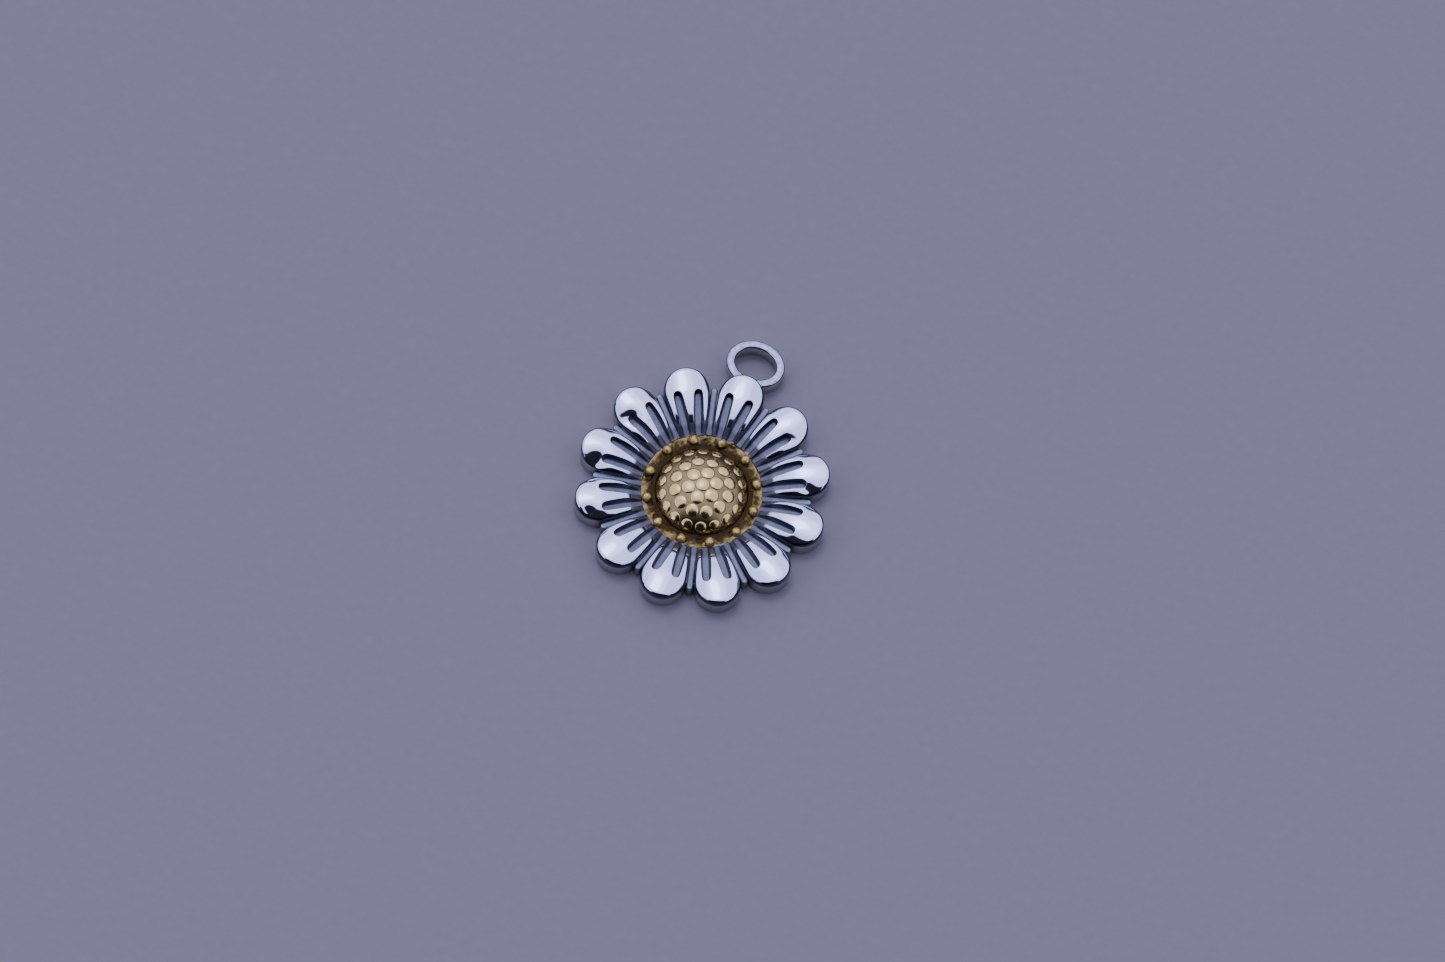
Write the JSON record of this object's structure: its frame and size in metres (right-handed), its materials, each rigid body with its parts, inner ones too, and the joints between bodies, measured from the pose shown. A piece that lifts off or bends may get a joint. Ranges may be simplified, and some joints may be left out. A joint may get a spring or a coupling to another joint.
{
  "type": "flower pendant",
  "caption": "Flower pendant: round-tipped grooved petals around a low dome covered in seeds, with a flat back and an oval hanging ring at one petal's tip.",
  "frame": {"origin": "on the flower's axis, in the plane of its flat back", "axes": "+Z out of the flower's face, +Y from the flower's axis towards the hanging ring, +X to the right seen from the front with the ring at the top"},
  "size_m": [0.0154, 0.0178, 0.0017],
  "materials": {
    "polished_steel": "mirror polished on the petals' crowns and rims, left matt in the grooves, between the petals and on the back",
    "gold_plate": "polished pale gold plate, darker and duller between the seeds"
  },
  "bodies": {
    "root": {"petal_rosette": "polished_steel", "seed_dome": "gold_plate"}
  },
  "joints": []
}
